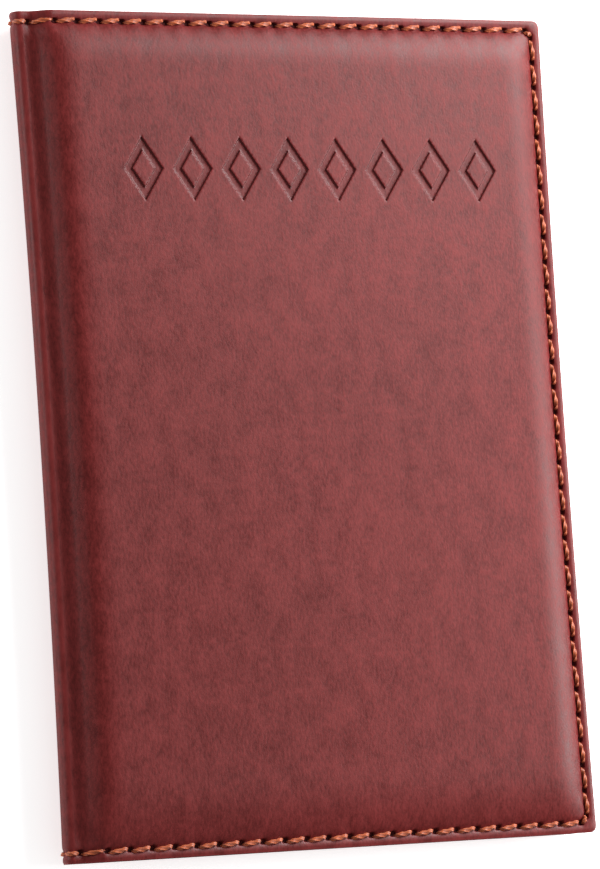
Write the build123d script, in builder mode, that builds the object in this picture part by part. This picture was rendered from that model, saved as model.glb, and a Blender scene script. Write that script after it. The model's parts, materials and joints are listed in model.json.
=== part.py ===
"""Bifold passport holder in imitation leather, lying closed on its back cover.

+X runs from the spine to the fore-edge, +Y to the top edge and +Z up through the front cover.
The origin is the centre of the footprint, at the lowest point. Sizes are in millimetres.

Each cover is a laminate of outer leather, foam, board and lining, sewn together round its margin.
Everything in a cover is drawn in the cover's own frame, where z = 0 is the outer face of the sewn
margin and +z points inwards. The back cover is that frame lifted by the crown of its padded
panel, and the front cover is its mirror. The pockets are flat sheets whose sewn edges are turned
under, and the turned edge's thickness is the room inside the pocket.
"""

import math
import os

from build123d import *

# Overall sizes
cover_height = 140.0  # top edge to bottom edge
cover_width = 100.0  # stitches on the spine to fore-edge
corner_radius = 1.2  # fore-edge corners

# Sheets
leather = 0.7
lining = 0.3
foam = 1.1
board = 0.4
pocket_leather = 0.6
card_leather = 0.8

# Padded panel of each cover
pad_inset = 3.6  # cut edges to the pad
pad_gutter = 6.0  # spine fold to the pad
pad_slope = 5.0  # width of the foam's sloping rim
pad_top_corner = 1.5  # corners of the foam's flat top

# Seam round each cover
stitch_pitch = 4.1  # along the top and the bottom
side_stitch_pitch = 4.4  # along the fore-edge
stitch_inset = 1.7  # cut edge to seam
corner_cut = 1.2  # how far the seam cuts off each fore-edge corner
hole_edge = 1.0  # least leather between the spine fold and the first hole
thread_width = 0.7
thread_height = 0.45
thread_leg_radius = 0.28
needle_hole_radius = 0.38
spine_hole_spacing = 2.6

# Passport pockets
turned_edge = 3.0
passport_flap_reach = 58.0  # fore-edge to the flap's free edge
card_panel_gutter = 4.0  # spine fold to the card panel's free edge

# Card slots, sewn on the card panel
card_long = 85.6
card_room = 0.7  # spare width beside a card
card_turned_edge = 2.1
slot_margin = 0.1  # turned edge of the card panel to the slots
slot_depth = 48.0  # foot to mouth
upper_slot_foot = 66.0  # bottom edge of the cover to the upper slot's foot

# Fine seams on the pocket sheets
fine_inset = 1.05  # edge of the sheet to the seam
fine_pitch = 3.2
fine_width = 0.5
fine_height = 0.3
fine_leg_radius = 0.2
fine_hole_radius = 0.28

# Lozenges pressed into the front cover
lozenge_count = 8
lozenge_pitch = 9.2
lozenge_width = 7.2
lozenge_length = 10.5
lozenge_stroke = 1.2
lozenge_depth = 0.25
lozenge_x = 2.6  # middle of the row
lozenge_y = 43.5

# Running clearances
fold_gap = 0.05
thread_end_gap = 0.1
closing_gap = 0.2  # between the fine threads of the two covers, closed

# Places that follow from the sizes above
crown = foam + board  # how far a padded panel stands out past its margin
fold_x = -cover_width / 2 + thread_height  # outer face of the spine
fore_x = cover_width / 2
half_height = cover_height / 2
lining_face = leather + lining
pocket_floor = lining_face + pocket_leather  # inside face of a pocket sheet
pocket_face = pocket_floor + pocket_leather
slot_floor = pocket_face + card_leather
slot_face = slot_floor + card_leather
stack_height = pocket_face + slot_face + 2 * fine_height + closing_gap  # between the sewn margins
pad_corner = pad_slope + pad_top_corner
seam_x = fore_x - stitch_inset
seam_y = half_height - stitch_inset
flap_left = fore_x - passport_flap_reach
panel_left = fold_x + card_panel_gutter
slot_right = fore_x - turned_edge - slot_margin
slot_left = slot_right - card_long - card_room - 2 * card_turned_edge
spine_middle = crown + stack_height / 2
spine_half = stack_height / 2 - leather - fold_gap

os.makedirs("parts", exist_ok=True)


def save(part, name):
    part.label = name
    export_step(part, f"parts/{name}.step")


def save_in_back(part, name):
    """Write a piece that was drawn in the cover frame, as part of the back cover."""
    save(Pos(0, 0, crown) * part, name)


def save_in_front(part, name):
    """Write a piece that was drawn in the cover frame, as part of the front cover."""
    save(Pos(0, 0, crown + stack_height) * mirror(part, about=Plane.XY), name)


# ---------------------------------------------------------------- seams


def evenly(start, stop, pitch):
    """Places from start to stop, both included, about a pitch apart."""
    count = max(1, round(abs(stop - start) / pitch))
    return [start + (stop - start) * i / count for i in range(count + 1)]


def cover_seam():
    """Needle holes of a cover's seam, from the top of the spine round to its bottom."""
    row_start = seam_x - corner_cut
    row_count = math.floor((row_start - fold_x - hole_edge) / stitch_pitch) + 1
    row_x = [row_start - stitch_pitch * i for i in range(row_count)]
    side_top = seam_y - corner_cut
    top = [(x, seam_y) for x in reversed(row_x)]
    side = [(seam_x, y) for y in evenly(side_top, -side_top, side_stitch_pitch)]
    bottom = [(x, -seam_y) for x in row_x]
    return top + side + bottom


cover_holes = cover_seam()


def punch(plane, holes, radius, low, high):
    """Needle holes through the part that is being made."""
    with BuildSketch(plane.offset(low)) as circles:
        with Locations(*holes):
            Circle(radius)
    extrude(circles.sketch, amount=high - low, mode=Mode.SUBTRACT)


def stitches(plane, ends, width, low, high):
    """Straight stitches on a face, each from one point to another, as bars with round ends."""
    with BuildSketch(plane.offset(low)) as bars:
        for a, b in ends:
            middle = Vector((a[0] + b[0]) / 2, (a[1] + b[1]) / 2)
            angle = math.degrees(math.atan2(b[1] - a[1], b[0] - a[0]))
            with Locations(Location(middle, (0, 0, angle))):
                SlotCenterToCenter(math.dist(a, b), width)
    extrude(bars.sketch, amount=high - low)


def legs(plane, holes, radius, low, high):
    """The stretches of a thread that go down its needle holes."""
    with BuildSketch(plane.offset(low)) as circles:
        with Locations(*holes):
            Circle(radius)
    extrude(circles.sketch, amount=high - low)


def fold_stitches(stop_x):
    """The two part stitches that run on from a cover's last holes towards the spine fold."""
    return [(cover_holes[i], (stop_x, cover_holes[i][1])) for i in (0, -1)]


def needle_thread():
    """The thread on a cover's outer face. It meets the inner thread half-way down each hole."""
    stop_x = fold_x + thread_end_gap + thread_width / 2
    ends = list(zip(cover_holes, cover_holes[1:])) + fold_stitches(stop_x)
    with BuildPart() as thread:
        stitches(Plane.XY, ends, thread_width, -thread_height, 0)
        legs(Plane.XY, cover_holes, thread_leg_radius, 0, lining_face / 2)
    return thread.part


def bobbin_thread(sheet_left):
    """The thread on a cover's inner face. It lies on the pocket sheet, which starts at
    sheet_left, and on the lining beside it."""
    stop_x = fold_x + 2 * lining_face + thread_width
    on_lining = [hole for hole in cover_holes if hole[0] < sheet_left - thread_width]
    ends = list(zip(cover_holes, cover_holes[1:]))
    lining_ends = [pair for pair in ends if pair[0] in on_lining and pair[1] in on_lining]
    sheet_ends = [pair for pair in ends if pair not in lining_ends]
    sheet_holes = [hole for pair in sheet_ends for hole in pair]
    lining_holes = [hole for hole in on_lining if hole not in sheet_holes]
    with BuildPart() as thread:
        stitches(Plane.XY, sheet_ends, thread_width, pocket_face, pocket_face + thread_height)
        legs(Plane.XY, dict.fromkeys(sheet_holes), thread_leg_radius, lining_face / 2, pocket_face)
        low_ends = lining_ends + fold_stitches(stop_x)
        stitches(Plane.XY, low_ends, thread_width, lining_face, lining_face + thread_height)
        if lining_holes:
            legs(Plane.XY, lining_holes, thread_leg_radius, lining_face / 2, lining_face)
    return thread.part


def fine_seam(holes, face, back):
    """A seam through pocket sheets: one thread on their face, and one on their back."""
    ends = list(zip(holes, holes[1:]))
    middle = (face + back) / 2
    with BuildPart() as upper:
        stitches(Plane.XY, ends, fine_width, face, face + fine_height)
        legs(Plane.XY, holes, fine_leg_radius, middle, face)
    with BuildPart() as lower:
        stitches(Plane.XY, ends, fine_width, back - fine_height, back)
        legs(Plane.XY, holes, fine_leg_radius, back, middle)
    return Compound(children=[upper.part, lower.part])


# ---------------------------------------------------------------- cover laminate


def cover_outline(left, z):
    """The outline of a cover, from left to the fore-edge, with its corners rounded."""
    with BuildSketch(Plane.XY.offset(z)) as outline:
        with Locations(((left + fore_x) / 2, 0)):
            Rectangle(fore_x - left, cover_height)
        fillet(outline.vertices().group_by(Axis.X)[-1], corner_radius)
    return outline.sketch


def pad_outline(grow, z):
    """The outline of a cover's pad, grown by the leather round it."""
    left = fold_x + pad_gutter - grow
    right = fore_x - pad_inset + grow
    height = cover_height - 2 * (pad_inset - grow)
    with BuildSketch(Plane.XY.offset(z)) as outline:
        with Locations(((left + right) / 2, 0)):
            RectangleRounded(right - left, height, pad_corner + grow)
    return outline.sketch


def padded_shape(grow, mode=Mode.ADD):
    """The board and the foam together, standing outwards from the lining."""
    foot = leather - grow
    slope = math.degrees(math.atan2(pad_slope, foam))
    extrude(pad_outline(grow, foot), amount=-board, mode=mode)
    extrude(pad_outline(grow, foot - board), amount=-foam, taper=slope, mode=mode)


def outer_leather():
    """Outer leather of a cover: a flat sewn margin round a crowned panel over the pad."""
    with BuildPart() as skin:
        extrude(cover_outline(fold_x, 0), amount=leather)
        fold_edge = skin.edges().filter_by(Axis.Y).group_by(Axis.X)[0].sort_by(Axis.Z)[0]
        fillet(fold_edge, 0.8 * leather)
        padded_shape(leather)
        padded_shape(0, mode=Mode.SUBTRACT)
        punch(Plane.XY, cover_holes, needle_hole_radius, 0, leather)
    return skin


def stiffener():
    """The board behind a pad."""
    with BuildPart() as sheet:
        extrude(pad_outline(0, leather), amount=-board)
    return sheet


def foam_pad():
    """Foam between the board and the outer leather, with a sloping rim."""
    with BuildPart() as pad:
        padded_shape(0)
        add(stiffener().part, mode=Mode.SUBTRACT)
    return pad


def cover_lining():
    """Lining over the whole inside of a cover, up to the spine's own leather."""
    with BuildPart() as sheet:
        extrude(cover_outline(fold_x + leather + fold_gap, leather), amount=lining)
        punch(Plane.XY, cover_holes, needle_hole_radius, leather, lining_face)
    return sheet


# ---------------------------------------------------------------- pockets


def sheet_holes(left):
    """The cover's needle holes that a pocket sheet, which starts at left, has to clear."""
    return [hole for hole in cover_holes if hole[0] > left - thread_width]


def hem_holes(left):
    """Needle holes along the free edge of a pocket sheet, between its turned edges."""
    reach = half_height - turned_edge - fine_inset
    return [(left + fine_inset, y) for y in evenly(-reach, reach, fine_pitch)]


def pocket_sheet(left, more_holes=()):
    """A full-height pocket sheet, sewn on three sides and open towards the spine."""
    with BuildPart() as sheet:
        extrude(cover_outline(left, pocket_floor), amount=pocket_leather)
        punch(Plane.XY, sheet_holes(left), needle_hole_radius, pocket_floor, pocket_face)
        punch(Plane.XY, hem_holes(left) + list(more_holes), fine_hole_radius, pocket_floor, pocket_face)
    return sheet


def pocket_turned_edge(left):
    """The margin of a pocket sheet that is folded under on its three sewn sides."""
    inside_x = fore_x - turned_edge
    with BuildPart() as border:
        extrude(cover_outline(left, lining_face), amount=pocket_leather)
        with BuildSketch(Plane.XY.offset(lining_face)):
            with Locations((inside_x, 0)):
                size = (inside_x - left, cover_height - 2 * turned_edge)
                Rectangle(*size, align=(Align.MAX, Align.CENTER))
        extrude(amount=pocket_leather, mode=Mode.SUBTRACT)
        punch(Plane.XY, sheet_holes(left), needle_hole_radius, lining_face, pocket_floor)
    return border


def slot_seam(foot):
    """Needle holes of a card slot's seam: down its left side, along its foot and up its right."""
    left = slot_left + fine_inset
    right = slot_right - fine_inset
    low = foot + fine_inset
    high = foot + slot_depth - fine_inset
    down = [(left, y) for y in evenly(high, low, fine_pitch)]
    along = [(x, low) for x in evenly(left, right, fine_pitch)]
    up = [(right, y) for y in evenly(low, high, fine_pitch)]
    return down + along[1:] + up[1:]


def card_slot(foot):
    """The face sheet of a card slot, open at its top."""
    with BuildPart() as sheet:
        with BuildSketch(Plane.XY.offset(slot_floor)):
            with Locations((slot_left, foot)):
                Rectangle(slot_right - slot_left, slot_depth, align=(Align.MIN, Align.MIN))
        extrude(amount=card_leather)
        punch(Plane.XY, slot_seam(foot), fine_hole_radius, slot_floor, slot_face)
    return sheet


def card_slot_turned_edge(foot):
    """The margin of a card slot that is folded under on its three sewn sides."""
    with BuildPart() as border:
        with BuildSketch(Plane.XY.offset(pocket_face)):
            with Locations((slot_left, foot)):
                Rectangle(slot_right - slot_left, slot_depth, align=(Align.MIN, Align.MIN))
            with Locations((slot_left + card_turned_edge, foot + card_turned_edge)):
                size = (card_long + card_room, slot_depth - card_turned_edge)
                Rectangle(*size, align=(Align.MIN, Align.MIN), mode=Mode.SUBTRACT)
        extrude(amount=card_leather)
        punch(Plane.XY, slot_seam(foot), fine_hole_radius, pocket_face, slot_floor)
    return border


# ---------------------------------------------------------------- back cover

save_in_back(outer_leather().part, "back_skin")
save_in_back(foam_pad().part, "back_foam_pad")
save_in_back(stiffener().part, "back_board")
save_in_back(cover_lining().part, "back_lining")
save_in_back(pocket_sheet(flap_left).part, "passport_flap")
save_in_back(pocket_turned_edge(flap_left).part, "passport_flap_turned_edge")
save_in_back(fine_seam(hem_holes(flap_left), pocket_face, pocket_floor), "passport_flap_hem_thread")
save_in_back(needle_thread(), "back_needle_thread")
save_in_back(bobbin_thread(flap_left), "back_bobbin_thread")

# ---------------------------------------------------------------- front cover

with BuildPart() as front_skin:
    add(outer_leather().part)
    with BuildSketch(Plane.XY.offset(-crown)):
        with Locations((lozenge_x, lozenge_y)):
            with GridLocations(lozenge_pitch, 0, lozenge_count, 1):
                half_width, half_length = lozenge_width / 2, lozenge_length / 2
                diagonal = math.hypot(half_width, half_length)
                stroke_share = lozenge_stroke * diagonal / (half_width * half_length)
                for scale, mode in ((1, Mode.ADD), (1 - stroke_share, Mode.SUBTRACT)):
                    across, along = scale * half_width, scale * half_length
                    Polygon((across, 0), (0, along), (-across, 0), (0, -along), mode=mode)
    extrude(amount=lozenge_depth, mode=Mode.SUBTRACT)

slot_feet = {"lower": turned_edge + slot_margin - half_height, "upper": upper_slot_foot - half_height}
slot_holes = [hole for foot in slot_feet.values() for hole in slot_seam(foot)]

save_in_front(front_skin.part, "front_skin")
save_in_front(foam_pad().part, "front_foam_pad")
save_in_front(stiffener().part, "front_board")
save_in_front(cover_lining().part, "front_lining")
save_in_front(pocket_sheet(panel_left, slot_holes).part, "card_panel")
save_in_front(pocket_turned_edge(panel_left).part, "card_panel_turned_edge")
save_in_front(fine_seam(hem_holes(panel_left), pocket_face, pocket_floor), "card_panel_hem_thread")
save_in_front(needle_thread(), "front_needle_thread")
save_in_front(bobbin_thread(panel_left), "front_bobbin_thread")
for side, foot in slot_feet.items():
    save_in_front(card_slot(foot).part, f"card_slot_{side}")
    save_in_front(card_slot_turned_edge(foot).part, f"card_slot_{side}_turned_edge")
    save_in_front(fine_seam(slot_seam(foot), slot_face, pocket_floor), f"card_slot_{side}_thread")

# ---------------------------------------------------------------- spine

# In the spine's plane, x runs up from the back cover to the front one and +z points inwards.
spine_plane = Plane(origin=(fold_x, 0, spine_middle), x_dir=(0, 0, 1), z_dir=(1, 0, 0))
spine_lining_half = spine_half - lining
spine_holes = [(x, y) for y in (seam_y, -seam_y) for x in (-spine_hole_spacing / 2, spine_hole_spacing / 2)]


def spine_sheet(half_width, low, high):
    """A strip of the spine, with its needle holes."""
    with BuildPart() as sheet:
        with BuildSketch(spine_plane.offset(low)):
            Rectangle(2 * half_width, cover_height)
        extrude(amount=high - low)
        punch(spine_plane, spine_holes, needle_hole_radius, low, high)
    return sheet


def spine_thread(reach, low, high, leg_low, leg_high):
    """The stitches that cross the spine at its top and its bottom."""
    stop = reach - thread_width / 2
    ends = [((-stop, y), (stop, y)) for y in (seam_y, -seam_y)]
    with BuildPart() as thread:
        stitches(spine_plane, ends, thread_width, low, high)
        legs(spine_plane, spine_holes, thread_leg_radius, leg_low, leg_high)
    return thread


save(spine_sheet(spine_half, 0, leather).part, "spine_skin")
save(spine_sheet(spine_lining_half, leather, lining_face).part, "spine_lining")
outer_reach = stack_height / 2 - thread_end_gap
outer_thread = spine_thread(outer_reach, -thread_height, 0, 0, lining_face / 2)
save(outer_thread.part, "spine_needle_thread")
inner_reach = spine_lining_half - thread_height
inner_face = (lining_face, lining_face + thread_height)
inner_thread = spine_thread(inner_reach, *inner_face, lining_face / 2, lining_face)
save(inner_thread.part, "spine_bobbin_thread")
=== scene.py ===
"""Looks of a bifold passport holder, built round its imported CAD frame. Sizes are in metres.

+X runs from the spine to the fore-edge, +Y to the top edge and +Z up through the front cover. The
back cover lies below, so its outer side faces down and the front cover's outer side faces up.
"""

import json
import math

import bpy
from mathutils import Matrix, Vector


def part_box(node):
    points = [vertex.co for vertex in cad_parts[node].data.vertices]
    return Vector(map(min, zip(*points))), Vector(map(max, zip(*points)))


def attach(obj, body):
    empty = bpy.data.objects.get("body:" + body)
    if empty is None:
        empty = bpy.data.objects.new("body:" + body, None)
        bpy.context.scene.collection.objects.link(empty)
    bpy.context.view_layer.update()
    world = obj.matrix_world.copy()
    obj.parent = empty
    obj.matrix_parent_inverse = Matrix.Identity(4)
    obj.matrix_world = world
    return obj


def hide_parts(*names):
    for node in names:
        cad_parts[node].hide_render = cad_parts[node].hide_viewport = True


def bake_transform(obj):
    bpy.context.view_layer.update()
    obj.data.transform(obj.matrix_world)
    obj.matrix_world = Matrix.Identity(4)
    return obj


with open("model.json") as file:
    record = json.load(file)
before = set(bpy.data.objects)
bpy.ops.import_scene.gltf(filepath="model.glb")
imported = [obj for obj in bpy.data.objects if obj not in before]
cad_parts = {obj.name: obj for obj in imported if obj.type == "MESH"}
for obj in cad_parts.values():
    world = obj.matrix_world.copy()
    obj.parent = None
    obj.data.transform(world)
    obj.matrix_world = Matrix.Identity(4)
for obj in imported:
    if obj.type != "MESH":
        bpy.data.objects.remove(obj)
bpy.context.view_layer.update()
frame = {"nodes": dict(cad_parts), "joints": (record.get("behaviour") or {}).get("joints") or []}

mm = 0.001
folds = {joint["name"]: Vector(joint["pos_m"]) for joint in frame["joints"]}
fold_x = folds["spine_fold"].x  # outer face of the spine
back_face = folds["spine_fold"].z  # outer faces of the sewn margins
front_face = folds["front_fold"].z
spine_middle = (back_face + front_face) / 2
leather_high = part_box("front_skin")[1]
fore_x = leather_high.x
half_height = leather_high.y
crown = leather_high.z - front_face

# Thickness of each sheet
leather = 0.7 * mm
lining = 0.3 * mm
pocket_leather = 0.6 * mm
card_leather = 0.8 * mm

# How deep each sheet lies under a cover's outer face
lining_depth = leather
edge_depth = leather + lining
sleeve_depth = edge_depth + pocket_leather
slot_edge_depth = sleeve_depth + pocket_leather
slot_depth_in = slot_edge_depth + card_leather

# Outline
corner_radius = 1.2 * mm
rim = 0.7 * mm  # width of the rolled-off cut edge
waist_left = 0.8 * mm  # how far the long sides draw in at mid-height
waist_right = 0.5 * mm

# Padded panel: where it starts to rise inside each edge, and over what width
panel_rise = {"left": (2.8 * mm, 7.0 * mm), "right": (2.0 * mm, 6.0 * mm),
              "top": (2.0 * mm, 6.5 * mm), "bottom": (2.0 * mm, 9.5 * mm)}
dome = 0.25 * mm  # the front panel's extra height at its middle
foam_inset = 3.6 * mm
foam_gutter = 6.0 * mm
foam_corner = 6.0 * mm
board_depth = 0.3 * mm  # outer face of the board, under the margin's outer face

# Spine folds. With no pockets between them there, the covers sink together beside the spine.
fold_radius = 1.3 * mm
sink = 1.8 * mm
shelf_end = 2.4 * mm  # from the spine's face to where the sunken covers start to rise
sink_end = 6.0 * mm  # and to where they are level
fold_highlight_width = 3.2 * mm  # painted highlight: leather coloured lighter beside the fold

# Main seam
seam_x = fore_x - 1.7 * mm
seam_y = half_height - 1.7 * mm
corner_cut = 1.2 * mm
pitch = 4.1 * mm
side_pitch = 4.4 * mm
row_stitches = 23
groove = 0.28 * mm
pucker = 0.1 * mm
hole_radius = 0.56 * mm
hole_slope = 0.22 * mm  # width of a hole's sloping wall
hole_depth = 0.65 * mm
hole_stretch = 1.25
hole_shift = 0.08 * mm
thread_radius = 0.4 * mm
thread_rise = 0.26 * mm
thread_slant = 0.22 * mm
thread_plunge = 0.5 * mm

# Pockets
turned_edge = 3.0 * mm
flap_left = fore_x - 58 * mm
panel_left = fold_x + 4 * mm
slot_right = fore_x - 3.1 * mm
slot_left = slot_right - 90.5 * mm
slot_height = 48 * mm
slot_edge = 2.1 * mm
slot_feet = {"lower": 3.1 * mm - half_height, "upper": 66 * mm - half_height}
mouth_gape = {"sleeve": (0.12 * mm, 12 * mm), "slot": (0.1 * mm, 9 * mm)}  # height and reach
hem_dent = 0.1 * mm
fine_inset = 1.05 * mm
fine_pitch = 3.2 * mm
fine_radius = 0.22 * mm
fine_rise = 0.14 * mm
fine_plunge = 0.3 * mm

# Mesh cells of the covers and of the sheets inside them
cover_cell = 1.25 * mm
sheet_cell = 2.5 * mm

# Lozenges pressed into the front cover
lozenge_count = 8
lozenge_pitch = 9.2 * mm
lozenge_half_width = 3.6 * mm
lozenge_half_length = 5.25 * mm
lozenge_stroke = 1.2 * mm
lozenge_middle = Vector((2.6 * mm, 43.5 * mm))
lozenge_depth = 0.3 * mm
lozenge_slope = 0.12 * mm  # half the width of a pressed line's sloping wall


# ---------------------------------------------------------------- shapes as formulas


def clamp(share):
    return min(1.0, max(0.0, share))


def ease(share):
    share = clamp(share)
    return share * share * (3 - 2 * share)


def rise(share):
    """A pad's rim: steep at its foot, and flat where it meets the panel."""
    return 1 - (1 - clamp(share)) ** 2.3


def ridge(distance, width):
    return math.exp(-((distance / width) ** 2))


def waist(x, y):
    """How far a point moves along X, because the long sides draw in between their corners."""
    share = clamp((x - fold_x) / (fore_x - fold_x))
    bow = 1 - (y / half_height) ** 2
    return bow * (waist_left * (1 - share) ** 2 - waist_right * share**2)


def corner_shift(x, y, left, right, half, radius):
    """How far a point moves inwards, along X and Y, to round the corners of a sheet."""
    beyond_left = left is not None and x < (left + right) / 2
    across = left + radius - x if beyond_left else x - (right - radius)
    along = abs(y) - (half - radius)
    if across <= 0 or along <= 0:
        return 0.0, 0.0
    pull = 1 - max(across, along) / math.hypot(across, along)
    return (across if beyond_left else -across) * pull, math.copysign(along * pull, -y)


def evenly(start, stop, step):
    """Places from start to stop, both included, about a step apart."""
    count = max(1, round(abs(stop - start) / step))
    return [start + (stop - start) * i / count for i in range(count + 1)]


row_places = [seam_x - corner_cut - pitch * i for i in range(row_stitches + 1)]
side_places = evenly(seam_y - corner_cut, corner_cut - seam_y, side_pitch)
cover_holes = (
    [(x, seam_y) for x in reversed(row_places)]
    + [(seam_x, y) for y in side_places]
    + [(x, -seam_y) for x in row_places]
)
side_step = side_places[0] - side_places[1]


def seam_distance(x, y):
    """How far a point of a cover lies from the seam, positive towards the panel."""
    side, row = seam_x - x, seam_y - abs(y)
    return min(side, row, (side + row - corner_cut) / math.sqrt(2))


def nearest_hole(x, y):
    """Distance from a point of a cover to the nearest needle hole. The pull of the stitches has
    drawn the holes out along the seam, and lies mostly on its panel side."""
    i = min(row_stitches, max(0, round((row_places[0] - x) / pitch)))
    k = min(len(side_places) - 1, max(0, round((side_places[0] - y) / side_step)))
    to_row = math.hypot((x - row_places[i]) / hole_stretch, abs(y) - seam_y + hole_shift)
    return min(to_row, math.hypot(x - seam_x + hole_shift, (y - side_places[k]) / hole_stretch))


def margin_relief(x, y):
    """The sewn margin: the thread's groove, and the cut edge rolled off."""
    to_edge = min(fore_x - x, half_height - abs(y))
    roll_off = (1 - clamp(to_edge / rim)) ** 2
    return -groove * ridge(seam_distance(x, y), 0.6 * mm) - 0.2 * mm * roll_off


def puckers(x, y):
    """Leather that the stitches pull down at each needle hole."""
    distance = seam_distance(x, y)
    along_row = seam_y - abs(y) < seam_x - x
    phase = (row_places[0] - x) / pitch if along_row else (side_places[0] - y) / side_step
    depth = pucker * ridge(distance - 1.0 * mm, 1.0 * mm)
    fade = ease((x - fold_x - fold_radius) / (2 * mm))
    return -depth * fade * (0.5 + 0.5 * math.cos(2 * math.pi * phase))


def fold_relief(x):
    """How a cover sinks towards the spine's fold."""
    return -sink * (1 - ease((x - fold_x - shelf_end) / (sink_end - shelf_end)))


def fold_centre(face, outward):
    """Height of the middle of a fold's round."""
    return face - outward * (sink + fold_radius)


def panel_share(x, y):
    """How much of its crown the padded panel has at a point, from 0 to 1."""
    inside = {"left": x - fold_x, "right": fore_x - x,
              "top": half_height - y, "bottom": half_height + y}
    share = 1.0
    for side, (start, width) in panel_rise.items():
        share *= rise((inside[side] - start) / width)
    return share


def cover_relief(x, y, dome_height):
    """Height of a cover's leather above its sewn margin, along its outward direction."""
    middle = (fold_x + fore_x) / 2
    bulge = (1 - ((x - middle) / (fore_x - middle)) ** 2) * (1 - (y / half_height) ** 2)
    panel = panel_share(x, y)
    return (fold_relief(x) + crown * panel + dome_height * panel * clamp(bulge)
            + margin_relief(x, y) + puckers(x, y))


def pressed(x, y):
    """How much of the pressed line of a lozenge is at a point, from 0 to 1."""
    place = (x - lozenge_middle.x) / lozenge_pitch + (lozenge_count - 1) / 2
    index = min(lozenge_count - 1, max(0, round(place)))
    across = abs(place - index) * lozenge_pitch / lozenge_half_width
    along = abs(y - lozenge_middle.y) / lozenge_half_length
    side = math.hypot(lozenge_half_width, lozenge_half_length)
    inside = (1 - across - along) * lozenge_half_width * lozenge_half_length / side
    outer, inner = inside, lozenge_stroke - inside
    return (ease((outer + lozenge_slope) / (2 * lozenge_slope))
            * ease((inner + lozenge_slope) / (2 * lozenge_slope)))


def pierced(x, y):
    """How much of a needle hole is at a point, from 0 to 1."""
    return ease((hole_radius - nearest_hole(x, y)) / hole_slope)


# ---------------------------------------------------------------- modelling


def deselect():
    if bpy.context.object and bpy.context.object.mode != "OBJECT":
        bpy.ops.object.mode_set(mode="OBJECT")
    bpy.ops.object.select_all(action="DESELECT")


def edit(piece, *, faces=None, edges=None, points=None):
    """Enter edit mode with what passes a test on its middle selected, or everything."""
    deselect()
    bpy.context.view_layer.objects.active = piece
    piece.select_set(True)
    mesh = piece.data
    kind = "FACE" if faces else "EDGE" if edges else "VERT"
    bpy.ops.object.mode_set(mode="EDIT")
    bpy.ops.mesh.select_mode(type=kind)
    if not (faces or edges or points):
        bpy.ops.mesh.select_all(action="SELECT")
        return
    bpy.ops.mesh.select_all(action="DESELECT")
    bpy.ops.object.mode_set(mode="OBJECT")
    if faces:
        for face in mesh.polygons:
            face.select = bool(faces(face.center))
    if edges:
        for side in mesh.edges:
            a, b = (mesh.vertices[i].co for i in side.vertices)
            side.select = bool(edges(a) and edges(b))
    if points:
        for point in mesh.vertices:
            point.select = bool(points(point.co))
    bpy.ops.object.mode_set(mode="EDIT")


def leave():
    bpy.ops.object.mode_set(mode="OBJECT")


def settle(piece, name):
    """Name a new piece and put its place, turn and size into its mesh."""
    piece.name = piece.data.name = name
    deselect()
    bpy.context.view_layer.objects.active = piece
    piece.select_set(True)
    bpy.ops.object.transform_apply(location=True, rotation=True, scale=True)
    return piece


def new_grid(name, left, right, bottom, top, z, cell):
    """A flat sheet of square cells, facing up."""
    deselect()
    across = max(1, round((right - left) / cell))
    along = max(1, round((top - bottom) / cell))
    middle = ((left + right) / 2, (bottom + top) / 2, z)
    bpy.ops.mesh.primitive_grid_add(x_subdivisions=across, y_subdivisions=along, size=1,
                                    location=middle)
    piece = bpy.context.object
    piece.scale = (right - left, top - bottom, 1)
    return settle(piece, name)


def refine(piece, wanted, cuts):
    """Divide the faces whose middle is wanted."""
    edit(piece, faces=lambda middle: wanted(middle.x, middle.y))
    bpy.ops.mesh.subdivide(number_cuts=cuts, quadcorner="INNERVERT")
    leave()


def push(piece, amount, direction, reach):
    """Move a piece's vertices along a direction by a formula of their place, up to the reach."""
    amounts = [amount(point.co) for point in piece.data.vertices]
    deselect()
    bpy.context.view_layer.objects.active = piece
    for sign in (1, -1):
        if not any(value * sign > 0 for value in amounts):
            continue
        group = piece.vertex_groups.new(name="push")
        for i, value in enumerate(amounts):
            if value * sign > 0:
                group.add([i], min(1.0, value * sign / reach), "REPLACE")
        move = piece.modifiers.new("push", "DISPLACE")
        move.direction = direction
        move.mid_level = 0
        move.strength = sign * reach
        move.vertex_group = group.name
        bpy.ops.object.modifier_apply(modifier=move.name)
        piece.vertex_groups.remove(piece.vertex_groups["push"])


def draw_in(piece):
    """Draw in the long sides of a finished piece."""
    push(piece, lambda at: waist(at.x, at.y), "X", 1 * mm)


def round_corners(piece, left, right, half, radius):
    shift = lambda at: corner_shift(at.x, at.y, left, right, half, radius)
    places = [shift(point.co) for point in piece.data.vertices]
    for axis, direction in enumerate("XY"):
        amounts = iter([place[axis] for place in places])
        push(piece, lambda at: next(amounts), direction, 3 * mm)


def mark(piece, name, amount):
    """Store a share from 0 to 1 at each vertex, for the piece's material."""
    layer = piece.data.attributes.new(name, "FLOAT", "POINT")
    layer.data.foreach_set("value", [amount(point.co) for point in piece.data.vertices])


def face_away(piece, inside):
    """Turn an open sheet so that its faces look away from a point."""
    face = max(piece.data.polygons, key=lambda f: f.area)
    if face.normal.dot(face.center - Vector(inside)) < 0:
        flip(piece)


def flip(piece):
    edit(piece)
    bpy.ops.mesh.flip_normals()
    leave()


def apply(piece, kind, **settings):
    modifier = piece.modifiers.new(kind.lower(), kind)
    for key, value in settings.items():
        setattr(modifier, key, value)
    bpy.context.view_layer.objects.active = piece
    bpy.ops.object.modifier_apply(modifier=modifier.name)


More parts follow.
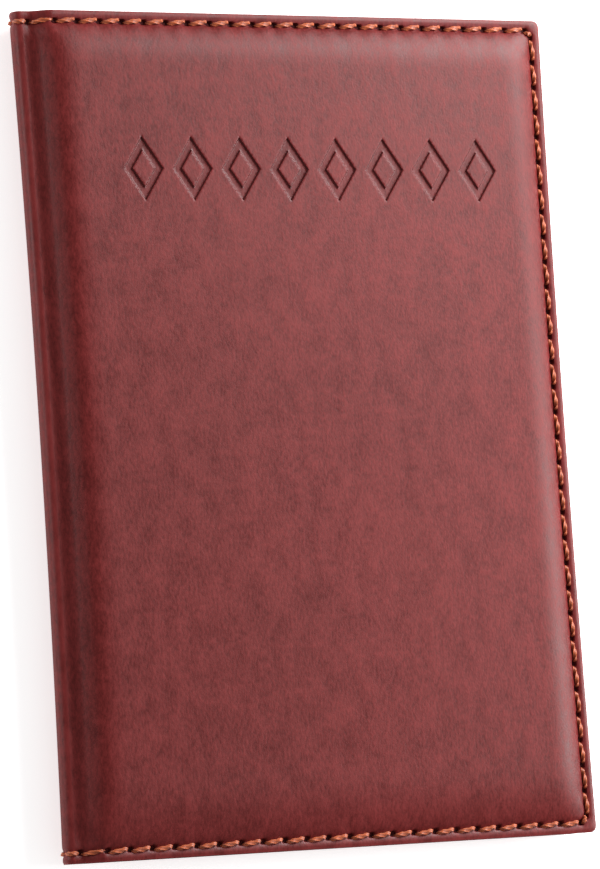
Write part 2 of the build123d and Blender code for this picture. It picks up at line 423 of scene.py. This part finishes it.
def thicken(piece, thickness, edge_bevel=0.0, **settings):
    """Give a sheet its thickness behind its faces. Its rim takes the second material."""
    apply(piece, "SOLIDIFY", thickness=thickness, offset=-1, use_even_offset=True,
          material_offset_rim=1, **settings)
    if edge_bevel:
        apply(piece, "BEVEL", width=edge_bevel, segments=2, limit_method="ANGLE",
              angle_limit=math.radians(50))
    shade(piece)


def shade(piece, angle=40):
    deselect()
    bpy.context.view_layer.objects.active = piece
    piece.select_set(True)
    bpy.ops.object.shade_smooth_by_angle(angle=math.radians(angle))


def dress(piece, *materials):
    piece.data.materials.clear()
    for material in materials:
        piece.data.materials.append(material)


def join(pieces, name):
    deselect()
    for piece in pieces:
        piece.select_set(True)
    bpy.context.view_layer.objects.active = pieces[0]
    bpy.ops.object.join()
    return settle(bpy.context.object, name)


# ---------------------------------------------------------------- materials


def new_material(name, roughness, **fixed):
    """A material and a function that adds a node to it, with sockets set or linked by name."""
    material = bpy.data.materials.new(name)
    material.use_nodes = True
    tree = material.node_tree
    shader = tree.nodes["Principled BSDF"]
    shader.inputs["Roughness"].default_value = roughness
    for key, value in fixed.items():
        shader.inputs[key.replace("_", " ")].default_value = value

    def add(kind, sockets=None, **settings):
        node = tree.nodes.new(kind)
        for key, value in settings.items():
            setattr(node, key, value)
        for key, value in (sockets or {}).items():
            if isinstance(value, bpy.types.NodeSocket):
                tree.links.new(value, node.inputs[key])
            else:
                node.inputs[key].default_value = value
        return node

    def drive(socket, source):
        tree.links.new(source, shader.inputs[socket])

    return material, add, drive


def noise(add, coordinates, scale, detail=3.0, stretch=(1, 1, 1)):
    """Noise with about `scale` features a metre, stretched along the axes."""
    place = add("ShaderNodeMapping", {"Vector": coordinates, "Scale": [scale * s for s in stretch]})
    sockets = {"Vector": place.outputs[0], "Scale": 1.0, "Detail": detail}
    return add("ShaderNodeTexNoise", sockets).outputs["Fac"]


def blend_colours(add, share, a, b, mode="MIX"):
    """Colour a where the share is 0, and b where it is 1."""
    mix = add("ShaderNodeMix", data_type="RGBA", blend_type=mode)
    for index, value in ((0, share), (6, a), (7, b)):
        if isinstance(value, bpy.types.NodeSocket):
            mix.id_data.links.new(value, mix.inputs[index])
        else:
            mix.inputs[index].default_value = (*value, 1) if index else value
    return mix.outputs[2]


def span(add, value, low, high, to_low=0.0, to_high=1.0):
    node = add("ShaderNodeMapRange", {"Value": value, "From Min": low, "From Max": high,
                                      "To Min": to_low, "To Max": to_high})
    return node.outputs[0]


def sum_up(add, *terms):
    """The sum of heights, each a socket with its weight."""
    total = None
    for socket, weight in terms:
        inputs = {0: socket, 1: weight, 2: total if total is not None else 0.0}
        total = add("ShaderNodeMath", inputs, operation="MULTIPLY_ADD").outputs[0]
    return total


def bumps(add, drive, height, distance, strength=1.0):
    node = add("ShaderNodeBump", {"Height": height, "Distance": distance, "Strength": strength})
    drive("Normal", node.outputs[0])


def streaked_leather(name, dark, light, roughness=0.46):
    """Imitation leather: short flecks along Y over a soft mottle, with a satin face."""
    material, add, drive = new_material(name, roughness, Specular_IOR_Level=0.25)
    place = add("ShaderNodeTexCoord").outputs["Object"]
    fleck = noise(add, place, 1000, 4, (2.4, 0.9, 1.5))
    fine = noise(add, place, 1000, 2, (6, 2.4, 4))
    mottle = noise(add, place, 220, 4, (1.5, 0.9, 1))
    cloud = noise(add, place, 30, 2)
    pores = add("ShaderNodeTexVoronoi", {"Vector": place, "Scale": 2600.0}).outputs["Distance"]
    mixed = sum_up(add, (fleck, 1.6), (fine, 0.9), (mottle, 1.1), (cloud, 0.4))
    colour = blend_colours(add, span(add, mixed, 1.55, 2.45), dark, light)
    pressed_in = add("ShaderNodeAttribute", attribute_name="pressed").outputs["Fac"]
    crease_shade_mask = add("ShaderNodeAttribute", attribute_name="crease_shade").outputs["Fac"]
    hole = add("ShaderNodeAttribute", attribute_name="pierced").outputs["Fac"]
    edge = add("ShaderNodeAttribute", attribute_name="wear_and_highlight").outputs["Fac"]
    # Painted shade along the sloping walls of the pressed lines, over a slight darkening of the
    # pressed lines themselves.
    press_and_crease_shade = add("ShaderNodeClamp", {"Value": sum_up(add, (pressed_in, 0.16), (crease_shade_mask, 0.8))})
    colour = blend_colours(add, press_and_crease_shade.outputs[0], colour, [c * 0.25 for c in dark])
    # Painted highlight on the round of the spine's fold, and wear with painted highlight where the
    # cut edges roll off: both are coloured lighter here.
    wear_and_highlight_share = span(add, sum_up(add, (edge, 0.6), (mottle, 0.5)), 0.5, 0.9, 0, 0.5)
    colour = blend_colours(add, wear_and_highlight_share, colour, [c * 1.4 + 0.01 for c in light])
    # Painted shade: the needle holes are coloured near black.
    colour = blend_colours(add, hole, colour, (0.02, 0.003, 0.002))
    drive("Base Color", colour)
    gloss = sum_up(add, (mottle, 0.5), (fleck, 0.5), (hole, 4.0))
    drive("Roughness", span(add, gloss, 0.3, 0.7, roughness - 0.06, roughness + 0.1))
    height = sum_up(add, (fleck, 0.5), (fine, 0.6), (pores, 0.3), (mottle, 1.8))
    bumps(add, drive, height, 0.035 * mm, 0.6)
    return material


def raw_leather_edge(name, colour):
    """The cut edge of a sheet: a fibrous backing, darker in streaks."""
    material, add, drive = new_material(name, 0.75)
    place = add("ShaderNodeTexCoord").outputs["Object"]
    fibre = noise(add, place, 1000, 4, (1.2, 1.2, 6))
    share = span(add, fibre, 0.35, 0.65)
    drive("Base Color", blend_colours(add, share, [c * 0.55 for c in colour], colour))
    bumps(add, drive, fibre, 0.08 * mm)
    return material


def woven_lining(name, dark, light):
    """A thin plain-woven lining."""
    material, add, drive = new_material(name, 0.78, Specular_IOR_Level=0.15)
    place = add("ShaderNodeTexCoord").outputs["Object"]
    waves = []
    for axis in "XY":
        wave = add("ShaderNodeTexWave", {"Vector": place, "Scale": 340.0, "Distortion": 0.4,
                                         "Detail": 1.0, "Detail Scale": 3.0}, bands_direction=axis)
        waves.append(wave.outputs["Fac"])
    weave = add("ShaderNodeMath", {0: waves[0], 1: waves[1]}, operation="MULTIPLY").outputs[0]
    uneven = noise(add, place, 260, 3, (1, 3, 1))
    share = span(add, sum_up(add, (weave, 0.8), (uneven, 0.7)), 0.25, 1.1)
    drive("Base Color", blend_colours(add, share, dark, light))
    bumps(add, drive, weave, 0.06 * mm, 0.8)
    return material


def sewing_thread(name, dark, light, fibre_scale=6000):
    """Spun thread: fine fibres, with painted shade where the plies meet."""
    material, add, drive = new_material(name, 0.45, Sheen_Weight=0.1, Specular_IOR_Level=0.4)
    place = add("ShaderNodeTexCoord").outputs["Object"]
    fibres = noise(add, place, fibre_scale, 3)
    wear = noise(add, place, 500, 2)
    ply_groove_shade = add("ShaderNodeAttribute", attribute_name="ply_groove_shade").outputs["Fac"]
    # Painted shade in the ply grooves pulls the colour towards the dark end.
    share = sum_up(add, (fibres, 0.55), (wear, 0.6), (ply_groove_shade, -0.5))
    drive("Base Color", blend_colours(add, span(add, share, -0.1, 0.8), dark, light))
    bumps(add, drive, fibres, 0.04 * mm, 0.7)
    return material


def cellular_foam(name):
    material, add, drive = new_material(name, 0.9)
    place = add("ShaderNodeTexCoord").outputs["Object"]
    cells = add("ShaderNodeTexVoronoi", {"Vector": place, "Scale": 2500.0}).outputs["Distance"]
    share = span(add, cells, 0.1, 0.6)
    drive("Base Color", blend_colours(add, share, (0.42, 0.41, 0.38), (0.66, 0.65, 0.6)))
    bumps(add, drive, cells, 0.1 * mm)
    return material


def grey_board(name):
    material, add, drive = new_material(name, 0.85)
    place = add("ShaderNodeTexCoord").outputs["Object"]
    pulp = noise(add, place, 1400, 4, (1, 3, 1))
    share = span(add, pulp, 0.35, 0.65)
    drive("Base Color", blend_colours(add, share, (0.2, 0.17, 0.13), (0.36, 0.32, 0.26)))
    bumps(add, drive, pulp, 0.04 * mm)
    return material


burgundy = streaked_leather("burgundy_leather", (0.083, 0.0042, 0.0037),
                            (0.172, 0.0142, 0.0136), 0.43)
burgundy_inside = streaked_leather("burgundy_pocket_leather", (0.085, 0.0055, 0.005),
                                   (0.14, 0.014, 0.0135), 0.5)
# The cut edges' dark colour is partly their own edge paint and partly painted shade for edges
# turned from the lights.
leather_edge = raw_leather_edge("cut_leather_edge", (0.04, 0.009, 0.009))
pocket_edge = raw_leather_edge("turned_leather_edge", (0.10, 0.02, 0.02))
lining_weave = woven_lining("burgundy_lining", (0.04, 0.006, 0.0065), (0.14, 0.022, 0.023))
seam_thread = sewing_thread("orange_seam_thread", (0.12, 0.014, 0.004), (0.68, 0.15, 0.045))
fine_thread = sewing_thread("burgundy_fine_thread", (0.05, 0.008, 0.008), (0.26, 0.06, 0.055),
                            9000)
foam_cells = cellular_foam("pale_foam")
pulp_board = grey_board("grey_board")


# ---------------------------------------------------------------- outer leather


def cover_leather(name, face, outward, dome_height, lozenges):
    """A cover's leather, from the spine fold to its cut edges."""
    piece = new_grid(name, fold_x + fold_radius, fore_x, -half_height, half_height, face,
                     cover_cell)
    near_edge = lambda x, y: min(fore_x - x, half_height - abs(y)) < 3.6 * mm
    refine(piece, near_edge, 2)
    if lozenges:
        reach = lozenge_count * lozenge_pitch / 2
        in_row = lambda x, y: (abs(x - lozenge_middle.x) < reach
                               and abs(y - lozenge_middle.y) < lozenge_half_length + 1 * mm)
        refine(piece, in_row, 4)
        refine(piece, lambda x, y: 0.02 < pressed(x, y) < 0.98, 1)
    refine(piece, lambda x, y: nearest_hole(x, y) < 0.8 * mm, 1)
    in_line = lambda at: pressed(at.x, at.y) if lozenges else 0.0
    mark(piece, "pierced", lambda at: pierced(at.x, at.y))
    # Painted shade on the sloping walls of the pressed lines.
    mark(piece, "crease_shade", lambda at: 4 * in_line(at) * (1 - in_line(at)))
    # Painted highlight beside the spine's fold, and wear with painted highlight where the cut edges
    # roll off.
    mark(piece, "wear_and_highlight", lambda at: 1 - clamp(min(
        (fore_x - at.x) / rim, (half_height - abs(at.y)) / rim, (at.x - fold_x) / fold_highlight_width)))
    mark(piece, "pressed", in_line)
    solid = piece.vertex_groups.new(name="solid")
    for i, point in enumerate(piece.data.vertices):
        solid.add([i], 1 - 0.85 * pierced(point.co.x, point.co.y), "REPLACE")

    def height(at):
        dip = hole_depth * pierced(at.x, at.y) + lozenge_depth * in_line(at)
        return outward * (cover_relief(at.x, at.y, dome_height) - dip)

    push(piece, height, "Z", 3 * mm)
    round_corners(piece, None, fore_x, half_height, corner_radius)
    draw_in(piece)
    if outward < 0:
        flip(piece)
    dress(piece, burgundy, leather_edge)
    thicken(piece, leather, vertex_group="solid")
    return piece


def fold_sheet(name, face, outward, depth):
    """Half of the spine with the fold that joins it to a cover: a flat strip, and a quarter
    turn at its edge. The depth is how far the sheet lies under the leather's face."""
    turn_z = fold_centre(face, outward)
    flat = abs(turn_z - spine_middle)
    deselect()
    middle = (fold_x + depth, 0, (turn_z + spine_middle) / 2)
    along = round(2 * half_height / cover_cell)
    bpy.ops.mesh.primitive_grid_add(x_subdivisions=3, y_subdivisions=along, size=1,
                                    location=middle, rotation=(0, math.radians(90), 0))
    piece = bpy.context.object
    piece.scale = (flat, 2 * half_height, 1)
    settle(piece, name)
    edit(piece, edges=lambda at: abs(at.z - turn_z) < 0.01 * mm)
    bpy.ops.mesh.spin(steps=10, angle=math.radians(90), axis=(0, -outward, 0),
                      center=(fold_x + fold_radius, 0, turn_z))
    leave()
    edit(piece)
    bpy.ops.mesh.remove_doubles(threshold=0.005 * mm)
    leave()
    refine(piece, lambda x, y: half_height - abs(y) < 3.6 * mm, 2)
    face_away(piece, (fold_x + fold_radius, 0, spine_middle))
    # Painted highlight across the fold's round, and wear with painted highlight along the cut
    # edges.
    mark(piece, "wear_and_highlight", lambda at: max(1 - clamp((half_height - abs(at.y)) / rim),
                                       0.8 * clamp((at.x - fold_x - depth) / (0.6 * mm))))
    push(piece, lambda at: margin_relief(fold_x, at.y), "NORMAL", 1 * mm)
    draw_in(piece)
    return piece


def fold_leather(name, face, outward):
    piece = fold_sheet(name, face, outward, 0)
    dress(piece, burgundy, leather_edge)
    thicken(piece, leather)
    return piece


def fold_lining(name, face, outward):
    piece = fold_sheet(name, face, outward, lining_depth)
    dress(piece, lining_weave)
    thicken(piece, lining)
    return piece


front_leather = cover_leather("front_leather", front_face, 1, dome, True)
back_leather = cover_leather("back_leather", back_face, -1, 0, False)
front_fold_leather = fold_leather("front_fold_leather", front_face, 1)
back_fold_leather = fold_leather("back_fold_leather", back_face, -1)

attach(front_leather, "front_cover")
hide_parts("front_skin")
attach(back_leather, "back_cover")
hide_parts("back_skin")


def bend_front(piece, depth=0.0):
    """Put a piece's place and turn into its mesh; nothing bends it. The depth is how far under the
    leather's face the piece's inner side lies, and is 0 for the leather itself; it is not used."""
    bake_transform(piece)


def bend_back(piece, depth=0.0):
    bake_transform(piece)


bend_front(front_fold_leather)
bend_back(back_fold_leather)
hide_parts("spine_skin")

# ---------------------------------------------------------------- linings and pockets


def inner_relief(x, y):
    """Height of the sheets inside a sewn margin, which follow the leather less and less."""
    return 0.35 * margin_relief(x, y) + fold_relief(x)


def flat_sheet(name, face, outward, depth, box, waves=None, frame_width=None, open_side=None):
    """A sheet inside a cover, its outer side lying depth under the cover's face. The box is its
    left, right, bottom and top. With a frame width, it is only the turned edge of that width,
    on every side but the open one."""
    left, right, bottom, top = box
    z = face - outward * depth
    piece = new_grid(name, left, right, bottom, top, z, sheet_cell)
    if frame_width:
        inside = {"left": left + frame_width, "right": right - frame_width,
                  "bottom": bottom + frame_width, "top": top - frame_width}
        for side, place in inside.items():
            if side == open_side:
                continue
            edit(piece)
            upright = side in ("left", "right")
            bpy.ops.mesh.bisect(plane_co=(place, 0, z) if upright else (0, place, z),
                                plane_no=(1, 0, 0) if upright else (0, 1, 0))
            leave()
        inside[open_side] = -1 if open_side == "left" else 1
        edit(piece, faces=lambda at: (inside["left"] < at.x < inside["right"]
                                      and inside["bottom"] < at.y < inside["top"]))
        bpy.ops.mesh.delete(type="FACE")
        leave()
    in_margin = right == fore_x
    if in_margin:
        refine(piece, lambda x, y: fore_x - x < 3 * mm or half_height - abs(y) < 3 * mm, 2)
    height = lambda at: outward * ((inner_relief(at.x, at.y) if in_margin else 0)
                                   + (waves(at.x, at.y) if waves else 0))
    push(piece, height, "Z", 2 * mm)
    if in_margin:
        round_corners(piece, None, fore_x, half_height, corner_radius)
    draw_in(piece)
    if outward < 0:
        flip(piece)
    return piece


def sleeve(name, face, outward, left):
    """A passport sleeve, open towards the spine, and its turned-under edge."""
    box = (left, fore_x, -half_height, half_height)
    gape, reach = mouth_gape["sleeve"]

    def mouth(x, y):
        """The hem's dent under its seam, and the slight gape of the opening."""
        opened = ease((left + reach - x) / reach) * (1 - (y / half_height) ** 2)
        return hem_dent * ridge(x - left - fine_inset, 0.5 * mm) - gape * opened

    sheet = flat_sheet(name, face, outward, sleeve_depth, box, waves=mouth)
    edge = flat_sheet(f"{name}_turned_edge", face, outward, edge_depth, box,
                      frame_width=turned_edge, open_side="left")
    for piece in (sheet, edge):
        dress(piece, burgundy_inside, pocket_edge)
        thicken(piece, pocket_leather, edge_bevel=0.2 * mm)
    return sheet, edge


def card_slot(name, foot):
    """A card slot, open at its top, and its turned-under edge."""
    box = (slot_left, slot_right, foot, foot + slot_height)
    gape, reach = mouth_gape["slot"]

    def mouth(x, y):
        across = clamp((x - slot_left) / (slot_right - slot_left))
        return -gape * ease((y - foot - slot_height + reach) / reach) * math.sin(math.pi * across)

    sheet = flat_sheet(name, front_face, 1, slot_depth_in, box, waves=mouth)
    edge = flat_sheet(f"{name}_turned_edge", front_face, 1, slot_edge_depth, box,
                      frame_width=slot_edge, open_side="top")
    for piece in (sheet, edge):
        dress(piece, burgundy_inside, pocket_edge)
        thicken(piece, card_leather, edge_bevel=0.28 * mm)
    return sheet, edge


def cover_lining(name, face, outward):
    box = (fold_x + fold_radius, fore_x, -half_height, half_height)
    piece = flat_sheet(name, face, outward, lining_depth, box)
    dress(piece, lining_weave)
    thicken(piece, lining)
    return piece


for side, face, outward in (("front", front_face, 1), ("back", back_face, -1)):
    piece = cover_lining(f"{side}_lining_cloth", face, outward)
    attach(piece, f"{side}_cover")
    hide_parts(f"{side}_lining")
    turn = fold_lining(f"{side}_fold_lining", face, outward)
    bend = bend_front if side == "front" else bend_back
    bend(turn, edge_depth)
    if side == "front":
        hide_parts("spine_lining")

passport_sleeve, passport_sleeve_edge = sleeve("passport_sleeve", back_face, -1, flap_left)
card_sleeve, card_sleeve_edge = sleeve("card_sleeve", front_face, 1, panel_left)
inside_pieces = [
    (passport_sleeve, "back_cover", "passport_flap", (58 * mm, 2 * half_height)),
    (passport_sleeve_edge, "back_cover", "passport_flap_turned_edge", None),
    (card_sleeve, "front_cover", "card_panel", (fore_x - panel_left, 2 * half_height)),
    (card_sleeve_edge, "front_cover", "card_panel_turned_edge", None),
]
for side, foot in slot_feet.items():
    sheet, edge = card_slot(f"{side}_card_slot", foot)
    size = (slot_right - slot_left, slot_height)
    inside_pieces.append((sheet, "front_cover", f"card_slot_{side}", size))
    inside_pieces.append((edge, "front_cover", f"card_slot_{side}_turned_edge", None))
for piece, body, node, flat in inside_pieces:
    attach(piece, body)
    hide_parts(node)

# ---------------------------------------------------------------- padding


def foam_pad(name, face, outward, dome_height):
    """The foam between the board and the leather, with the panel's crown."""
    left, right, half = fold_x + foam_gutter, fore_x - foam_inset, half_height - foam_inset
    piece = new_grid(name, left, right, -half, half, face, sheet_cell)
    top = lambda at: outward * (cover_relief(at.x, at.y, dome_height) - leather - 0.06 * mm)
    push(piece, top, "Z", 3 * mm)
    edit(piece)
    bpy.ops.mesh.extrude_region_move()
    bpy.ops.transform.resize(value=(1, 1, 0), center_override=(0, 0, face - outward * board_depth))
    bpy.ops.mesh.select_all(action="SELECT")
    bpy.ops.mesh.normals_make_consistent(inside=False)
    leave()
    round_corners(piece, left, right, half, foam_corner)
    draw_in(piece)
    dress(piece, foam_cells)
    shade(piece)
    return piece


for side, face, outward, height in (("front", front_face, 1, dome), ("back", back_face, -1, 0)):
    piece = foam_pad(f"{side}_foam", face, outward, height)
    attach(piece, f"{side}_cover")
    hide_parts(f"{side}_foam_pad")
    dress(frame["nodes"][f"{side}_board"], pulp_board)

# ---------------------------------------------------------------- threads


def twisted_thread(name, path, radius, turns, sections, plies=3):
    """A stretch of twisted thread. Each point of its path has a place and a share of the radius."""
    deselect()
    bpy.ops.mesh.primitive_circle_add(vertices=2 * plies, radius=radius)
    outline = bpy.context.object
    edit(outline, points=lambda at: round(math.atan2(at.x, at.y) / (math.pi / plies)) % 2 == 0)
    bpy.ops.transform.resize(value=(0.76, 0.76, 1), center_override=(0, 0, 0))
    leave()
    bpy.ops.object.convert(target="CURVE")
    hollows = [math.hypot(*point.co[:2]) < 0.9 * radius for point in outline.data.splines[0].points]
    deselect()
    bpy.ops.curve.primitive_nurbs_path_add()
    thread = bpy.context.object
    line = thread.data.splines[0]
    line.points.add(len(path) - len(line.points))
    for i, (point, (place, share)) in enumerate(zip(line.points, path)):
        point.co = (*place, 1)
        point.radius = share
        point.tilt = 2 * math.pi * turns * i / (len(path) - 1)
    line.order_u = 4
    line.use_endpoint_u = True
    thread.data.resolution_u = sections
    thread.data.bevel_mode = "OBJECT"
    thread.data.bevel_object = outline
    thread.data.use_fill_caps = True
    bpy.ops.object.convert(target="MESH")
    thread = bpy.context.object
    bpy.data.objects.remove(outline)
    count = len(thread.data.vertices)
    # Marks the inner points of the outline, for the painted shade in the ply grooves.
    layer = thread.data.attributes.new("ply_groove_shade", "FLOAT", "POINT")
    layer.data.foreach_set("value", [hollows[i % len(hollows)] for i in range(count)])
    settle(thread, name)
    edit(thread)
    bpy.ops.mesh.remove_doubles(threshold=0.002 * mm)
    bpy.ops.mesh.normals_make_consistent(inside=False)
    leave()
    return thread


def stitch_path(length, lift, slant, plunge):
    """A stitch along +X: up out of one needle hole, over the leather and down into the next."""
    return [
        ((0.60 * mm, -slant, -plunge), 0.50),
        ((0.62 * mm, -slant, 0.05 * mm), 0.75),
        ((1.00 * mm, -0.8 * slant, lift), 0.95),
        ((0.5 * length, 0, lift + 0.08 * mm), 1.05),
        ((length - 0.90 * mm, 0.8 * slant, lift), 0.95),
        ((length - 0.50 * mm, slant, 0.05 * mm), 0.75),
        ((length - 0.48 * mm, slant, -plunge), 0.50),
    ]


def lay_stitches(model, length, ends, name, outward=1):
    """Copies of a stitch, each from one place to another, joined as one thread."""
    stitches = []
    for a, b in ends:
        a, b = Vector(a), Vector(b)
        stitch = model.copy()
        stitch.data = model.data.copy()
        bpy.context.scene.collection.objects.link(stitch)
        stitch.location = a
        way = b - a
        stitch.rotation_euler = (0, -math.asin(way.z / way.length), math.atan2(way.y, way.x))
        stitch.scale = (way.length / length, 1, outward)
        stitches.append(stitch)
    thread = join(stitches, name)
    edit(thread)
    bpy.ops.mesh.normals_make_consistent(inside=False)
    leave()
    draw_in(thread)
    return thread


def along_fold(face, outward, depth, distance):
    """A place across a fold: distance runs from the middle of the spine, up its face and round
    to the cover. The depth is how far the place lies under the leather's face."""
    turn_z = fold_centre(face, outward)
    flat = abs(turn_z - spine_middle)
    radius = fold_radius - depth
    if distance < flat:
        return fold_x + depth, spine_middle + outward * distance
    angle = (distance - flat) / fold_radius
    if angle < math.pi / 2:
        return (fold_x + fold_radius - radius * math.cos(angle),
                turn_z + outward * radius * math.sin(angle))
    past_turn = distance - flat - fold_radius * math.pi / 2
    return fold_x + fold_radius + past_turn, turn_z + outward * radius


def fold_stitch(name, face, outward, y):
    """The stitch that wraps a fold, from the middle of the spine to the cover's first hole."""
    stop = abs(fold_centre(face, outward) - spine_middle) + fold_radius * math.pi / 2
    stop += row_places[-1] - fold_x - fold_radius
    path = []
    for share, height, thickness in (
            (0.10, -0.5, 0.5), (0.12, 0.1, 0.75), (0.25, 0.24, 1), (0.42, 0.3, 1),
            (0.58, 0.3, 1), (0.75, 0.26, 1), (0.85, 0.1, 0.75), (0.86, -0.4, 0.5)):
        x, z = along_fold(face, outward, groove - height * mm, share * stop)
        path.append(((x, y, z), thickness))
    piece = twisted_thread(name, path, thread_radius, 1.2, 3)
    draw_in(piece)
    return piece


def inner_fold_stitch(name, face, outward, y):
    """The same stitch on the lining, which goes straight across the hollow of the fold."""
    x = row_places[-1]
    start = Vector((fold_x + edge_depth, y, spine_middle + outward * 0.25 * mm))
    stop = Vector((x, y, face + outward * (fold_relief(x) - edge_depth)))
    lift = Vector((0.25 * mm, 0, -0.1 * outward * mm))
    shape = ((0, -1, 0.5), (0.15, 0.6, 0.8), (0.5, 1, 1), (0.75, 0.8, 1), (0.85, -1, 0.5))
    path = [(start + (stop - start) * share + lift * height, thickness)
            for share, height, thickness in shape]
    piece = twisted_thread(name, path, 0.8 * thread_radius, 0.5, 3)
    draw_in(piece)
    return piece


seam_path = stitch_path(pitch, thread_rise, thread_slant, thread_plunge)
seam_stitch = twisted_thread("seam_stitch", seam_path, thread_radius, 1.3, 3)
fine_path = stitch_path(fine_pitch, fine_rise, 0, fine_plunge)
fine_stitch = twisted_thread("fine_stitch", fine_path, fine_radius, 0.8, 2, plies=2)


def cover_seam_ends(height_at):
    places = [(x, y, height_at(x)) for x, y in cover_holes]
    return list(zip(places, places[1:]))


def finish_thread(piece, body, material, node=None):
    dress(piece, material)
    shade(piece, 60)
    if body:
        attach(piece, body)
    if node:
        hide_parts(node)


for side, face, outward, sheet_left in (("front", front_face, 1, panel_left),
                                        ("back", back_face, -1, flap_left)):
    body = f"{side}_cover"
    outer = cover_seam_ends(lambda x: face + outward * (fold_relief(x) - groove))
    piece = lay_stitches(seam_stitch, pitch, outer, f"{side}_seam_thread", outward)
    finish_thread(piece, body, seam_thread, f"{side}_needle_thread")
    depth_at = lambda x: slot_edge_depth if x > sheet_left - 0.1 * mm else edge_depth
    inner = cover_seam_ends(lambda x: face + outward * (fold_relief(x) - depth_at(x)))
    piece = lay_stitches(seam_stitch, pitch, inner, f"{side}_inner_thread", -outward)
    finish_thread(piece, body, seam_thread, f"{side}_bobbin_thread")
    for kind, stitch, depth, node in (
            ("fold_thread", fold_stitch, 0, "spine_needle_thread"),
            ("inner_fold_thread", inner_fold_stitch, edge_depth, "spine_bobbin_thread")):
        stitches = [stitch(f"stitch_{i}", face, outward, y)
                    for i, y in enumerate((seam_y, -seam_y))]
        piece = join(stitches, f"{side}_{kind}")
        finish_thread(piece, None, seam_thread, node if side == "front" else None)
        bend = bend_front if side == "front" else bend_back
        bend(piece, depth)

reach = half_height - turned_edge - fine_inset


def fine_seam(name, line, face, outward, top_depth, back_depth, body, node):
    """A fine seam through pocket sheets, with a thread on each side of them."""
    sides = []
    for depth, way in ((top_depth, -outward), (back_depth, outward)):
        z = face - outward * depth
        ends = [((*a, z), (*b, z)) for a, b in zip(line, line[1:])]
        sides.append(lay_stitches(fine_stitch, fine_pitch, ends, f"{name}_side", way))
    piece = join(sides, name)
    finish_thread(piece, body, fine_thread, node)


hem = lambda left: [(left + fine_inset, y) for y in evenly(-reach, reach, fine_pitch)]
fine_seam("passport_sleeve_hem", hem(flap_left), back_face, -1, slot_edge_depth, sleeve_depth,
          "back_cover", "passport_flap_hem_thread")
fine_seam("card_sleeve_hem", hem(panel_left), front_face, 1, slot_edge_depth, sleeve_depth,
          "front_cover", "card_panel_hem_thread")
for side, foot in slot_feet.items():
    left, right = slot_left + fine_inset, slot_right - fine_inset
    low, high = foot + fine_inset, foot + slot_height - fine_inset
    line = ([(left, y) for y in evenly(high, low, fine_pitch)]
            + [(x, low) for x in evenly(left, right, fine_pitch)[1:]]
            + [(right, y) for y in evenly(low, high, fine_pitch)[1:]])
    fine_seam(f"{side}_card_slot_seam", line, front_face, 1, slot_depth_in + card_leather,
              sleeve_depth, "front_cover", f"card_slot_{side}_thread")
for model in (seam_stitch, fine_stitch):
    bpy.data.objects.remove(model)

# ---------------------------------------------------------------- camera, floor and light

deselect()
bpy.ops.mesh.primitive_plane_add(size=6, location=(0, 0, 0))
floor = bpy.context.object
floor.name = "floor"
white, add, drive = new_material("white_floor", 0.9, Specular_IOR_Level=0.1, Emission_Strength=0.62,
                                 Emission_Color=(1, 1, 1, 1))
place = add("ShaderNodeTexCoord").outputs["Object"]
uneven = noise(add, place, 40)
drive("Base Color", blend_colours(add, uneven, (0.94, 0.94, 0.94), (0.96, 0.96, 0.96)))
dress(floor, white)

bpy.ops.object.camera_add(location=(-0.43847, -0.08154, 0.79709),
                          rotation=[math.radians(angle) for angle in (7.232, -28.512, -4.419)])
camera = bpy.context.object
camera.data.lens = 224.7
camera.data.sensor_width = 36
bpy.context.scene.camera = camera


def area_light(name, place, size, energy, target=(0, 0, 0)):
    aim = (Vector(target) - Vector(place)).to_track_quat("-Z", "Y").to_euler()
    bpy.ops.object.light_add(type="AREA", location=place, rotation=aim)
    light = bpy.context.object
    light.name = name
    light.data.size = size
    light.data.energy = energy


area_light("key_light", (0.25, 0.2, 0.21), 0.2, 2.5, target=(0.02, 0.02, 0))
area_light("side_light", (0.34, -0.03, 0.2), 0.15, 1.15, target=(0.03, -0.03, 0))
area_light("fold_light", (-0.5, 0.14, 0.09), 0.2, 0.95, target=(fold_x, 0, 0.006))

world = bpy.data.worlds.new("studio")
world.use_nodes = True
world.node_tree.nodes["Background"].inputs["Color"].default_value = (1, 1, 1, 1)
world.node_tree.nodes["Background"].inputs["Strength"].default_value = 0.33
bpy.context.scene.world = world
bpy.context.scene.view_settings.view_transform = "Standard"

deselect()
